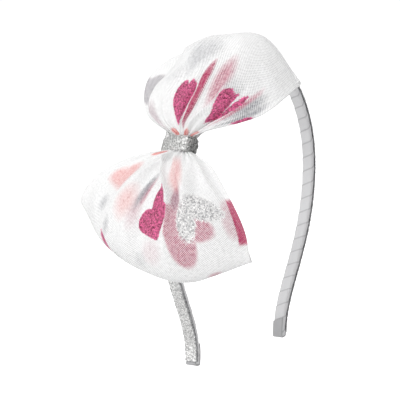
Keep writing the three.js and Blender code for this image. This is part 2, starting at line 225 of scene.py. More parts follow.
STUDIO_LIGHTS = [
    # name, azimuth, elevation, distance, size, power
    ("key_softbox", -104, 28, 1.2, 0.8, 6.5),
    ("top_softbox", -60, 75, 1.3, 0.9, 3.2),
    ("fill_card", -30, -10, 1.5, 1.0, 1.0),
]


def add_studio_light(name, azimuth, elevation, distance, size, power):
    away = direction(azimuth, elevation)
    bpy.ops.object.light_add(type="AREA", location=CAMERA_AIM + distance * away)
    light = bpy.context.object
    light.name = name
    light.rotation_euler = away.to_track_quat("Z", "Y").to_euler()
    light.data.shape = "SQUARE"
    light.data.size = size
    light.data.energy = power


for row in STUDIO_LIGHTS:
    add_studio_light(*row)
bpy.context.scene.view_settings.view_transform = "Standard"
print("lights:", ", ".join(row[0] for row in STUDIO_LIGHTS))

# %% [markdown]
# ## The band's line
# Every piece follows the band, so its middle line comes first. The real band is one moulded strip bent into a
# narrow arch. The arch could be traced as one long curve, but two cubic curves an arm keep the numbers few:
# one goes from the top to the widest place, the other from there to the tip.
# The line is sampled finely once. After that, any distance along it is looked up between two samples.

# %% Line of the band
BAND_DROP = 124.0
BAND_HALF_WIDTH = 59.4
WIDEST_BELOW_TOP = 54.8
TIP_FROM_MIDDLE = 36.2
TIP_LEAN = 2.5
CROWN_ROUNDNESS = 0.39
SHOULDER_ROUNDNESS = 0.63
ARM_STRAIGHTNESS = 0.49
TIP_STRAIGHTNESS = 0.29
HEAD_FACE = 1.38
LINE_SAMPLES = 1500


def cubic(points, t):
    start, leave, arrive, end = (np.array(point, float) for point in points)
    t = t[:, None]
    return (1 - t) ** 3 * start + 3 * (1 - t) ** 2 * t * leave + 3 * (1 - t) * t * t * arrive + t**3 * end


def measure_line():
    """Distance, middle, direction and outward side of the band in the XZ plane, from the left tip to the right."""
    low = BAND_DROP - WIDEST_BELOW_TOP
    shoulder = (BAND_HALF_WIDTH, -WIDEST_BELOW_TOP)
    upper = [
        (0, 0),
        (CROWN_ROUNDNESS * BAND_HALF_WIDTH, 0),
        (BAND_HALF_WIDTH, -(1 - SHOULDER_ROUNDNESS) * WIDEST_BELOW_TOP),
        shoulder,
    ]
    lower = [
        shoulder,
        (BAND_HALF_WIDTH, -WIDEST_BELOW_TOP - ARM_STRAIGHTNESS * low),
        (TIP_FROM_MIDDLE - TIP_LEAN, TIP_STRAIGHTNESS * low - BAND_DROP),
        (TIP_FROM_MIDDLE, -BAND_DROP),
    ]
    t = np.linspace(0, 1, LINE_SAMPLES)
    right = np.vstack([cubic(upper, t), cubic(lower, t)[1:]])
    left = right[::-1] * (-1, 1)
    middle = np.vstack([left, right[1:]]) + (0, HEAD_FACE)
    steps = np.linalg.norm(np.diff(middle, axis=0), axis=1)
    distance = np.concatenate([[0], np.cumsum(steps)])
    along = np.gradient(middle, distance, axis=0)
    along /= np.linalg.norm(along, axis=1)[:, None]
    outward = np.stack([-along[:, 1], along[:, 0]], axis=1)
    return distance, middle, along, outward


line_distance, line_middle, line_along, line_outward = measure_line()
BAND_LENGTH = line_distance[-1]


def look_up(values, distance):
    return np.stack([np.interp(distance, line_distance, values[:, k]) for k in (0, 1)], axis=-1)


def on_band(distance, back, height):
    """Points in mm at distances from the left tip, a way towards the back and a height off the band's middle."""
    distance, back, height = np.broadcast_arrays(distance, back, height)
    inside = np.clip(distance, 0, BAND_LENGTH)
    flat = look_up(line_middle, inside) + look_up(line_along, inside) * (distance - inside)[..., None]
    flat = flat + look_up(line_outward, inside) * height[..., None]
    return np.stack([flat[..., 0], back, flat[..., 1]], axis=-1)


print("the band is", round(BAND_LENGTH, 1), "mm long round its arch")

# %% [markdown]
# ## From a flat grid to a shaped piece
# Ribbon and tulle are flat strips before they are wound, glued or gathered. So each of them starts here as
# Blender's Grid primitive, and its vertices are then moved to where that spot of the real strip ends up.
# A grid keeps its flat place as its UV map, so a weave or a print made on that map follows the cloth.

# %% Strip helpers
def flat_strip(name, columns, rows):
    """A Grid primitive, with each vertex's share across and along the strip, both from 0 to 1."""
    bpy.ops.object.select_all(action="DESELECT")
    bpy.ops.mesh.primitive_grid_add(x_subdivisions=columns, y_subdivisions=rows, size=1)
    strip = bpy.context.object
    strip.name = name
    strip.data.name = name
    flat = np.empty(len(strip.data.vertices) * 3)
    strip.data.vertices.foreach_get("co", flat)
    shares = flat.reshape(-1, 3) + 0.5
    return strip, shares[:, 0], shares[:, 1]


def move_vertices(strip, places):
    """Moves the vertices to places in mm."""
    strip.data.vertices.foreach_set("co", (places * MM).ravel())
    strip.data.update()


def keep_flat_map(strip, width, length):
    """Scales the grid's UV map to metres of flat cloth, so a pattern on it has a real pitch."""
    layer = strip.data.uv_layers[0]
    layer.name = "cloth"
    flat = np.empty(len(layer.data) * 2)
    layer.data.foreach_get("uv", flat)
    flat = flat.reshape(-1, 2) * (width * MM, length * MM)
    layer.data.foreach_set("uv", flat.ravel())


def paint(strip, name, values):
    """Keeps one number a vertex, or three, as an attribute that a material can read."""
    kind = "FLOAT" if values.ndim == 1 else "FLOAT_VECTOR"
    field = "value" if values.ndim == 1 else "vector"
    attribute = strip.data.attributes.new(name, kind, "POINT")
    attribute.data.foreach_set(field, values.astype(np.float32).ravel())


def give_thickness(strip, thickness, offset=0.0, reverse_material=0):
    solid = strip.modifiers.new("cloth thickness", "SOLIDIFY")
    solid.thickness = thickness * MM
    solid.offset = offset
    solid.material_offset = reverse_material
    solid.material_offset_rim = reverse_material
    bpy.ops.object.modifier_apply(modifier=solid.name)


def in_edit_mode(*steps):
    """Runs mesh operators on the whole active piece, each given as (operator, settings)."""
    bpy.ops.object.mode_set(mode="EDIT")
    for operator, settings in steps:
        bpy.ops.mesh.select_all(action="SELECT")
        operator(**settings)
    bpy.ops.object.mode_set(mode="OBJECT")


def finish_piece(piece, slot, *nodes, smooth=True):
    """The last step of each piece: smooth faces, its body and the nodes that it stands for. The slot is not used.
    """
    bpy.ops.object.select_all(action="DESELECT")
    piece.select_set(True)
    bpy.context.view_layer.objects.active = piece
    if smooth:
        bpy.ops.object.shade_smooth()
    else:
        bpy.ops.object.shade_flat()
    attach(piece, "root")
    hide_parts(*nodes)
    print(piece.name, "has", len(piece.data.polygons), "faces")


# %% [markdown]
# ## The wound ribbon
# The band is wound with narrow satin ribbon. Each lap starts proud at its slanted edge and thins towards the
# next one, which leaves a line every six millimetres or so.
# A texture could fake those lines, but the steps show in the outline of the band, so they are modelled.
# The strip is rolled round the band as a true helix: one way round also moves one lap along. The rows of the grid
# then run along the lap edges, and every edge stays crisp.

# %% Wound ribbon
WRAP_HALF_WIDTH = 2.3
WRAP_HALF_THICKNESS = 1.2
WRAP_CORNER = 0.55
LAP_STEP = 0.18
LAPS = 53
LAP_PITCH = BAND_LENGTH / LAPS
LAP_ROWS = [0.0, 0.02, 0.12, 0.3, 0.5, 0.7, 0.88, 0.95]
ROUND_BAND = 44
CORNER_STEPS = 8


def round_section(half_width, half_thickness, corner):
    """A rectangle with round corners, walked once round from the front of the head face."""
    corners = [(1, -1, -90), (1, 1, 0), (-1, 1, 90), (-1, -1, 180)]
    points = []
    for side, top, start in corners:
        for angle in np.radians(np.linspace(start, start + 90, CORNER_STEPS)):
            across = side * (half_width - corner) + corner * math.cos(angle)
            height = top * (half_thickness - corner) + corner * math.sin(angle)
            points.append((across, height, math.cos(angle), math.sin(angle)))
    points.append(points[0])
    points = np.array(points)
    steps = np.linalg.norm(np.diff(points[:, :2], axis=0), axis=1)
    walked = np.concatenate([[0], np.cumsum(steps)])
    return walked, points


def at_share(section, share):
    walked, points = section
    return [np.interp(share * walked[-1], walked, points[:, k]) for k in range(4)]


wrap_section = round_section(WRAP_HALF_WIDTH, WRAP_HALF_THICKNESS, WRAP_CORNER)
wrap_girth = wrap_section[0][-1]
lap_rows_total = len(LAP_ROWS) * (LAPS + 1)
ribbon, round_share, row_share = flat_strip("ribbon_winding", ROUND_BAND, lap_rows_total)
row = np.rint(row_share * lap_rows_total).astype(int)
lap_number, row_in_lap = np.divmod(row, len(LAP_ROWS))
lap_share = np.array(LAP_ROWS)[row_in_lap]
ribbon_back, ribbon_height, back_way, out_way = at_share(wrap_section, round_share)
ribbon_distance = (lap_number - 1 + lap_share + round_share) * LAP_PITCH
proud = LAP_STEP * (1 - lap_share / LAP_ROWS[-1])
move_vertices(
    ribbon,
    on_band(
        np.clip(ribbon_distance, 0, BAND_LENGTH),
        ribbon_back + proud * back_way,
        ribbon_height + proud * out_way,
    ),
)
print("the ribbon goes", LAPS, "times round, once every", round(LAP_PITCH, 2), "mm")

# %% [markdown]
# The rolled strip still has a seam where its two long sides meet, and both its ends are squeezed to a line at
# the tips. Merging by distance closes the seam, and filling the two end rings makes it one closed body.
# Two attributes are kept for the finish: a painted shadow line along each lap edge, and each lap's own tone.

# %% Close the wound ribbon
lap_tones = np.random.default_rng(7).uniform(0, 1, LAPS + 3)
# Painted shadow: a dark line on both sides of each lap edge.
paint(ribbon, "ribbon_shade", np.exp(-(((1 - lap_share) / 0.07) ** 2)) + 0.6 * np.exp(-((lap_share / 0.03) ** 2)))
paint(ribbon, "lap_tone", lap_tones[np.clip(lap_number, 0, LAPS + 2)])
paint(ribbon, "side", np.abs(back_way))
keep_flat_map(ribbon, wrap_girth, BAND_LENGTH)
in_edit_mode(
    (bpy.ops.mesh.remove_doubles, {"threshold": 0.01 * MM}),
    (bpy.ops.mesh.dissolve_degenerate, {"threshold": 0.002 * MM}),
    (bpy.ops.mesh.fill_holes, {"sides": 0}),
    (bpy.ops.mesh.normals_make_consistent, {"inside": False}),
)
finish_piece(ribbon, "ribbon", "ribbon_wrap")

# %% [markdown]
# ## The glitter ribbon
# Silver glitter ribbon is glued along the outer face, and its two edges are turned down over the sides. Glitter
# is coarse grit in glue, so the surface is truly rough. A bump map would look right only from the front, so the
# grit is modelled: each vertex of a fine grid moves up or down by its own small amount.
# With flat shading, every little face then points its own way and catches the light by itself.

# %% Glitter ribbon
TRIM_FROM_TIP = 1.2
TRIM_HALF_WIDTH = 2.6
TRIM_TOP = 1.9
TRIM_TURNED_DOWN = 1.0
TRIM_CORNER = 0.5
TRIM_THICKNESS = 0.16
GRIT = 0.42
GRIT_HEIGHT = 0.07

grit_random = np.random.default_rng(11)


def trim_section(share):
    """Across the ribbon: up one side, over the outer face and down the other side."""
    flat = 2 * (TRIM_HALF_WIDTH - TRIM_CORNER)
    side = TRIM_TURNED_DOWN - TRIM_CORNER
    bend = TRIM_CORNER * math.pi / 2
    walk = (share - 0.5) * (flat + 2 * bend + 2 * side)
    reach = np.abs(walk)
    turn = np.clip((reach - flat / 2) / TRIM_CORNER, 0, math.pi / 2)
    down = np.clip(reach - flat / 2 - bend, 0, None)
    back = np.sign(walk) * (np.clip(reach, 0, flat / 2) + TRIM_CORNER * np.sin(turn))
    height = TRIM_TOP - TRIM_CORNER * (1 - np.cos(turn)) - down
    return back, height, np.sign(walk) * np.sin(turn), np.cos(turn)


trim_length = BAND_LENGTH - 2 * TRIM_FROM_TIP
trim_width = 2 * (TRIM_HALF_WIDTH + TRIM_TURNED_DOWN)
trim, trim_across, trim_along = flat_strip(
    "glitter_ribbon", round(trim_width / GRIT), round(trim_length / GRIT)
)
trim_back, trim_height, trim_back_way, trim_out_way = trim_section(trim_across)
grit = grit_random.uniform(-GRIT_HEIGHT, GRIT_HEIGHT, len(trim_across))
slip = grit_random.uniform(-0.25, 0.25, (2, len(trim_across))) * GRIT
move_vertices(
    trim,
    on_band(
        TRIM_FROM_TIP + trim_along * trim_length + slip[0],
        trim_back + slip[1] * trim_out_way + grit * trim_back_way,
        trim_height + grit * trim_out_way,
    ),
)
# Painted shade: the side value is high on the turned-down edges, and the finish darkens them with it.
paint(trim, "side", np.abs(trim_back_way))
keep_flat_map(trim, trim_width, trim_length)
give_thickness(trim, TRIM_THICKNESS, offset=-1.0)
finish_piece(trim, "glitter", "glitter_trim", smooth=False)

# %% [markdown]
# ## The ribbon ends at the tips
# At each tip the ribbon's end is folded from the outer face round the tip and glued up the head side, where its
# cut edge slants. It is one short piece of ribbon, so it is a small grid that follows this route, and Solidify
# gives it its thickness. The left and the right end are made by the same function.

# %% Folded ribbon ends
FOLD_HALF_WIDTH = 2.15
FOLD_THICKNESS = 0.4
FOLD_CLEAR = 1.78
FOLD_UP_HEAD_SIDE = 7.0
FOLD_UP_OUTER_SIDE = 1.0
FOLD_CUT_SLANT = 0.45
FOLD_ROUND_TIP = 0.4


def fold_route(share):
    """Along the folded end: how far past the tip it is, its height, and how much its cut slants there."""
    turn = math.pi * FOLD_CLEAR / 2
    whole = FOLD_UP_HEAD_SIDE + turn + FOLD_UP_OUTER_SIDE
    walk = share * whole
    angle = np.clip((walk - FOLD_UP_HEAD_SIDE) / turn, 0, 1) * math.pi
    past = np.clip(walk - FOLD_UP_HEAD_SIDE, None, 0) - np.clip(walk - FOLD_UP_HEAD_SIDE - turn, 0, None)
    past = past + FOLD_ROUND_TIP * np.sin(angle)
    slant = FOLD_CUT_SLANT * np.clip(1 - walk / (FOLD_UP_HEAD_SIDE / 2), 0, 1)
    return past, -FOLD_CLEAR * np.cos(angle), slant


def make_tip_fold(name, at_right_tip, replaced):
    fold, across, along = flat_strip(name, 12, 40)
    past, height, slant = fold_route(along)
    back = (2 * across - 1) * FOLD_HALF_WIDTH
    past = past + slant * back
    distance = BAND_LENGTH + past if at_right_tip else -past
    move_vertices(fold, on_band(distance, back, height))
    # Painted shade: the folded end is darkened all over, most at its cut end, and its lap tone is held low.
    paint(fold, "ribbon_shade", 0.7 + 0.3 * np.exp(-((along / 0.02) ** 2)))
    paint(fold, "lap_tone", np.full(len(along), 0.3))
    paint(fold, "side", np.zeros(len(along)))
    keep_flat_map(fold, 2 * FOLD_HALF_WIDTH, FOLD_UP_HEAD_SIDE + FOLD_UP_OUTER_SIDE)
    give_thickness(fold, FOLD_THICKNESS)
    in_edit_mode((bpy.ops.mesh.normals_make_consistent, {"inside": False}))
    finish_piece(fold, "ribbon", replaced)
    return fold


tip_folds = [
    make_tip_fold("ribbon_end_left", False, "tip_fold_left"),
    make_tip_fold("ribbon_end_right", True, "tip_fold_right"),
]

# %% [markdown]
# ## Where the bow sits
# The knot is on the left arm, pushed towards the front. The bow has its own directions: along the band towards
# the top, off the head, and to the front. Everything in the bow is measured from the middle of the gathers.

# %% The bow's own directions
KNOT_FROM_TOP = 70.2
KNOT_FORWARD = 7.6
KNOT_OUTWARD = 5.18
KNOT_LENGTH = 6.2
GATHER_BACK = 3.0
GATHER_FRONT = 5.2
GATHER_HALF_HEIGHT = 1.9
GATHER_NARROWS = 0.45
GATHER_END_FROM_MIDDLE = 1.0
FRONT = np.array([0.0, -1.0, 0.0])


def upright(flat):
    return np.array([flat[0], 0.0, flat[1]])


knot_distance = BAND_LENGTH / 2 - KNOT_FROM_TOP
towards_top = upright(look_up(line_along, knot_distance))
off_head = upright(look_up(line_outward, knot_distance))
band_at_knot = upright(look_up(line_middle, knot_distance))
gather_middle = band_at_knot + KNOT_OUTWARD * off_head + KNOT_FORWARD * FRONT
print("the bow's middle is at", gather_middle.round(1), "mm")

# %% [markdown]
# ## The shape of the tulle loops
# Each half of the bow is one strip of tulle. It leaves the knot, runs out, folds back at the far end and returns
# under itself. Cloth simulation could find this shape, but it wouldn't land on the photographed outline, so the
# loop is shaped from a few tables. Each table row is a place across the cloth or on the way out, and its
# numbers are shares of the loop's length and width. A smooth curve goes through each column.

# %% Tables of the two loops
UPPER_LOOP = {
    "side": 1,
    "lean": -4,
    "length": 50,
    "width": 42,
    "cut_width": 59,
    "fold": [
        # across, reach, lift, outer puff, inner puff
        (0.0, 0.84, -0.12, 0.11, 0.17),
        (0.25, 0.885, -0.02, 0.2, 0.15),
        (0.5, 0.9, 0.02, 0.22, 0.15),
        (0.75, 0.905, -0.04, 0.15, 0.13),
        (1.0, 0.66, -0.24, -0.02, 0.02),
    ],
    "edges": [
        # way out, outer back, outer front, inner back, inner front
        (0.1, -0.27, 0.29, -0.3, 0.16),
        (0.25, -0.42, 0.52, -0.52, 0.34),
        (0.5, -0.41, 0.73, -0.67, 0.62),
        (0.75, -0.29, 0.83, -0.68, 0.77),
        (0.92, -0.28, 0.86, -0.52, 0.84),
        (1.0, -0.31, 0.86, -0.31, 0.86),
    ],
    "creases": {
        # name: (across near the knot, half way and near the fold; height; width on its back and front side; reach)
        "behind_heart": (0.2, 0.22, 0.24, 1.2, 0.04, 0.06, 0.85),
        "heart_cut": (0.43, 0.475, 0.46, -2.6, 0.02, 0.03, 0.8),
        "stripe_fold": (0.52, 0.56, 0.52, 2.0, 0.02, 0.012, 0.75),
        "white_ridge": (0.66, 0.73, 0.62, 2.8, 0.035, 0.09, 1.0),
        "heart_valley": (0.84, 0.825, 0.8, -2.4, 0.015, 0.015, 0.6),
        "front_fold": (0.97, 0.92, 0.9, 1.8, 0.03, 0.04, 0.8),
    },
}
LOWER_LOOP = {
    "side": -1,
    "lean": 2,
    "length": 54,
    "width": 42,
    "cut_width": 92,
    "fold": [
        (0.0, 0.46, -0.12, 0.1, 0.12),
        (0.25, 0.775, 0.0, 0.22, 0.16),
        (0.5, 0.94, 0.04, 0.24, 0.16),
        (0.75, 0.975, 0.0, 0.19, 0.15),
        (1.0, 0.755, -0.14, 0.03, 0.05),
    ],
    "edges": [
        (0.1, -0.34, 0.33, -0.28, 0.24),
        (0.25, -0.54, 0.47, -0.48, 0.38),
        (0.5, -0.75, 0.65, -0.7, 0.56),
        (0.75, -0.89, 0.79, -0.86, 0.73),
        (1.0, -1.0, 0.88, -1.0, 0.88),
    ],
    "creases": {
        "back_ridge": (0.38, 0.28, 0.27, 1.8, 0.04, 0.05, 0.8),
        "shadow_valley": (0.44, 0.47, 0.44, -2.4, 0.04, 0.05, 0.8),
        "long_pleat": (0.4, 0.62, 0.66, 3.4, 0.018, 0.03, 1.05),
        "coral_ridge": (0.57, 0.76, 0.76, 2.6, 0.04, 0.1, 0.75),
        "front_ridge": (0.87, 0.93, 0.97, 1.6, 0.04, 0.03, 0.75),
    },
}
CREASE_PLACES = (0.1, 0.4, 0.8)
print("the loops reach", UPPER_LOOP["length"], "and", LOWER_LOOP["length"], "mm from the knot at most")

# %% [markdown]
# A smooth curve through a few rows could be one of Blender's curve objects. A formula is shorter here, because
# thousands of cloth points ask for it at once: between two rows it is a cubic whose slopes come from the rows
# beside them.
# Where the cloth would sink into the band it lies on the glitter ribbon, and falls away on both sides.

# %% Curves through the tables, and cloth that lies on the band
DRAPE_SAMPLES = 200
DRAPE_CLEAR = 2.98
DRAPE_BESIDE = 3.68
DRAPE_FALL = 0.9
DRAPE_SOFTNESS = 0.8


def through(places, values, x):
    """A smooth curve through values given at places."""
    places = np.array(places, float)
    values = np.array(values, float)
    before = np.maximum(np.arange(len(places)) - 1, 0)
    after = np.minimum(np.arange(len(places)) + 1, len(places) - 1)
    slope = (values[after] - values[before]) / (places[after] - places[before])
    k = np.clip(np.searchsorted(places, x, side="right") - 1, 0, len(places) - 2)
    step = places[k + 1] - places[k]
    t = (x - places[k]) / step
    start = 1 - 3 * t * t + 2 * t**3
    bends = (t - 2 * t * t + t**3) * slope[k] + (t**3 - t * t) * slope[k + 1]
    return start * values[k] + (1 - start) * values[k + 1] + step * bends


def drape_over_band(points):
    spread = np.linspace(0, BAND_LENGTH, DRAPE_SAMPLES)
    middles = look_up(line_middle, spread)
    outwards = look_up(line_outward, spread)
    apart = (points[:, None, 0] - middles[:, 0]) ** 2 + (points[:, None, 2] - middles[:, 1]) ** 2
    nearest = apart.argmin(axis=1)
    outward = outwards[nearest]
    height = ((points[:, (0, 2)] - middles[nearest]) * outward).sum(axis=1)
    beside = np.maximum(0, np.abs(points[:, 1]) - DRAPE_BESIDE)
    above = height - (DRAPE_CLEAR - DRAPE_FALL * beside)
    lift = (np.hypot(above, DRAPE_SOFTNESS) - above) / 2
    lifted = points.copy()
    lifted[:, 0] += lift * outward[:, 0]
    lifted[:, 2] += lift * outward[:, 1]
    return lifted


# %% [markdown]
# Close to the knot the tulle is squeezed into many small folds, and further out these run together into a few
# long creases. On top of them the whole sheet is softly crumpled. All three are heights that are added to the
# smooth loop: a wave across the cloth that dies away from the knot, a ridge or valley for each crease of the
# table, and a sum of long waves with seeded directions.

# %% Folds on the cloth
GATHER_FOLDS = 9
GATHER_FOLD_HEIGHT = 0.42
CREASES_GROW_OVER = 0.1
CREASE_CRISPNESS = 1.3
CREASE_ROUND = 0.3
CRUMPLE_WAVES = 10
CRUMPLE_HEIGHT = 0.16
INNER_SHARE = 0.6


def crease_line(crease, out):
    return through(CREASE_PLACES, crease[:3], out)


def crease_heights(loop, out, across):
    total = np.zeros_like(across)
    grown = np.clip(out / CREASES_GROW_OVER, 0, 1)
    for crease in loop["creases"].values():
        height, back_width, front_width, reach = crease[3:]
        off = across - crease_line(crease, out)
        width = np.where(off < 0, back_width, front_width)
        profile = np.exp(-CREASE_CRISPNESS * (np.hypot(off / width, CREASE_ROUND) - CREASE_ROUND))
        total += height * profile * grown * np.clip(1 - out / reach, 0, 1)
    return total


def crumple(across_mm, along_mm, seed):
    random = np.random.default_rng(seed)
    total = np.zeros_like(across_mm)
    for _ in range(CRUMPLE_WAVES):
        wavelength = random.uniform(7, 24)
        angle = random.uniform(0, math.pi)
        phase = random.uniform(0, 2 * math.pi)
        walk = across_mm * math.cos(angle) + along_mm * math.sin(angle)
        total += CRUMPLE_HEIGHT * wavelength / 15 * np.sin(2 * math.pi * walk / wavelength + phase)
    return total


# %% [markdown]
# Now a loop can be placed. A turn goes from nothing at the knot, along the outer layer to half a circle at the
# fold, and back along the inner layer. The rows of the grid are spaced evenly along the cloth, so the turn of
# each row is looked up from the length of the middle thread.

# %% Place every point of a loop
PUFF_STARTS_SLOWLY = 1.2
LIFT_STARTS_SLOWLY = 1.3
THREAD_SAMPLES = 1200


def smooth_loop(loop, turn, across, inside_knot, folds=0.0):
    """Places in mm of cloth points. inside_knot is how far from the knot's middle a point still under it is."""
    lean = math.radians(loop["lean"])
    axis = loop["side"] * math.cos(lean) * towards_top + math.sin(lean) * off_head
    off = math.cos(lean) * off_head - loop["side"] * math.sin(lean) * towards_top
    outer = turn <= math.pi
    out = (1 - np.cos(turn)) / 2
    gathered_edges = (-GATHER_BACK / loop["width"], GATHER_FRONT / loop["width"])
    edges = np.array([(0, *gathered_edges, *gathered_edges)] + loop["edges"])
    fold = np.array(loop["fold"])
    back = np.where(outer, through(edges[:, 0], edges[:, 1], out), through(edges[:, 0], edges[:, 3], out))
    front = np.where(outer, through(edges[:, 0], edges[:, 2], out), through(edges[:, 0], edges[:, 4], out))
    forward = (back + (front - back) * across) * loop["width"]
    reach = through(fold[:, 0], fold[:, 1], across) * loop["length"]
    mouth = KNOT_LENGTH / 2
    along = np.where(np.isnan(inside_knot), mouth + (reach - mouth) * out, inside_knot)
    puff_share = np.where(outer, through(fold[:, 0], fold[:, 3], across), through(fold[:, 0], fold[:, 4], across))
    puff = puff_share * loop["length"] * np.sin(turn) * np.abs(np.sin(turn / 2)) ** PUFF_STARTS_SLOWLY
    gathered = GATHER_HALF_HEIGHT * (1 - GATHER_NARROWS * (2 * across - 1) ** 2) * (1 - out) ** 2
    lift = through(fold[:, 0], fold[:, 2], across) * loop["length"] * out**LIFT_STARTS_SLOWLY
    lift = lift + puff + np.where(outer, gathered + folds, -gathered - INNER_SHARE * folds)
    places = gather_middle + along[:, None] * axis + forward[:, None] * FRONT + lift[:, None] * off
    return drape_over_band(places), out


def thread_turns(loop):
    """The turn at each distance along the middle thread of the cloth, and the thread's whole length."""
    turns = np.linspace(0, 2 * math.pi, THREAD_SAMPLES)
    nowhere = np.full(THREAD_SAMPLES, np.nan)
    places, _ = smooth_loop(loop, turns, np.full(THREAD_SAMPLES, 0.5), nowhere)
    steps = np.linalg.norm(np.diff(places, axis=0), axis=1)
    under_knot = KNOT_LENGTH / 2 - GATHER_END_FROM_MIDDLE
    return turns, under_knot + np.concatenate([[0], np.cumsum(steps)]), under_knot


def place_loop(loop, across, along_share, seed):
    turns, walked, under_knot = thread_turns(loop)
    cut_length = walked[-1] + under_knot
    walk = along_share * cut_length
    turn = np.interp(walk, walked, turns)
    from_end = np.minimum(walk, cut_length - walk)
    inside_knot = np.where(from_end < under_knot, GATHER_END_FROM_MIDDLE + from_end, np.nan)
    out = (1 - np.cos(turn)) / 2
    small_folds = GATHER_FOLD_HEIGHT * np.cos(2 * math.pi * GATHER_FOLDS * across) * (1 - out) ** 7
    folds = small_folds + crease_heights(loop, out, across)
    folds = folds + crumple(across * loop["cut_width"], walk, seed) * np.clip(out * 3, 0, 1)
    places, out = smooth_loop(loop, turn, across, inside_knot, folds)
    return places, out, turn <= math.pi, cut_length


# %% [markdown]
# ## The printed hearts
# The tulle is printed with glitter hearts in magenta, silver and coral. Some lie on its face. Others belong to
# the ply under it and show only through the holes of the net, so they look paler and dotted.
# A picture could be painted and wrapped on the cloth. Instead, each heart is a row of a table: its point, its
# size and its turn on the flat cloth. The distance to a heart's outline has a short formula, and that distance
# is kept on the mesh, so the finish can draw the edge of a heart more sharply than the mesh is fine.
# A heart with a deep notch is petals that meet at its point, and one that is cut by the cloth's edge a strip.

# %% Tables of printed hearts
INKS = ("magenta", "silver", "coral")
UPPER_PRINTS = [
    # shape, across, along, width, height, turn, ink, ply, strength, softness, side of a crease that is kept
    ("heart", 0.395, 0.052, 10.5, 19, 0, "magenta", "face", 1.0, 0.3, ("heart_cut", -1)),
    ("heart", 0.81, 0.068, 8.5, 15.5, 2, "magenta", "face", 1.0, 0.3, ("heart_valley", -1)),
    ("petal", 0.86, 0.152, 2.6, 16, -3, "magenta", "face", 1.0, 0.3, None),
    ("petal", 0.525, 0.18, 4.4, 25, 0, "magenta", "under", 3.0, 0.5, ("heart_cut", 1)),
    ("petal", 0.665, 0.23, 7, 18, 6, "magenta", "under", 1.2, 1.4, None),
    ("petal", 0.77, 0.2, 8, 12, 15, "silver", "under", 0.35, 1.5, None),
    ("petal", 0.925, 0.18, 2.6, 16, 0, "silver", "under", 1.2, 0.6, None),
    ("petal", 0.965, 0.165, 1.6, 14, 0, "silver", "under", 1.8, 0.5, None),
    ("petal", 0.99, 0.14, 2.2, 7, 0, "magenta", "face", 1.0, 0.3, None),
    ("petal", 0.895, 0.175, 1.6, 17, 0, "magenta", "under", 1.6, 0.5, None),
    ("heart", 0.335, 0.26, 17, 15, 0, "silver", "under", 0.65, 3.0, None),
    ("petal", 0.2, 0.27, 10, 9, 0, "silver", "under", 0.3, 3.0, None),
    ("petal", 0.03, 0.1, 7, 10, 0, "magenta", "under", 0.45, 2.0, None),
    ("petal", 0.03, 0.1, 7, 10, 0, "silver", "under", 0.55, 2.0, None),
    ("petal", 0.2, 0.022, 14, 4, 0, "coral", "under", 2.2, 0.8, None),
    ("petal", 0.62, 0.022, 9, 4, 0, "coral", "under", 2.2, 0.8, None),
    ("petal", 0.9, 0.02, 7, 4, 0, "coral", "under", 2.2, 0.8, None),
    ("heart", 0.03, 0.81, 16, 15, 180, "silver", "under", 1.0, 0.8, None),
    ("heart", 0.03, 0.81, 16, 15, 180, "magenta", "under", 0.25, 0.8, None),
    ("heart", 0.74, 0.58, 16, 15, 40, "coral", "face", 1.0, 0.3, None),
    ("heart", 0.3, 0.8, 16, 15, 200, "magenta", "face", 1.0, 0.3, None),
    ("heart", 0.75, 0.88, 16, 15, 170, "silver", "face", 1.0, 0.3, None),
]
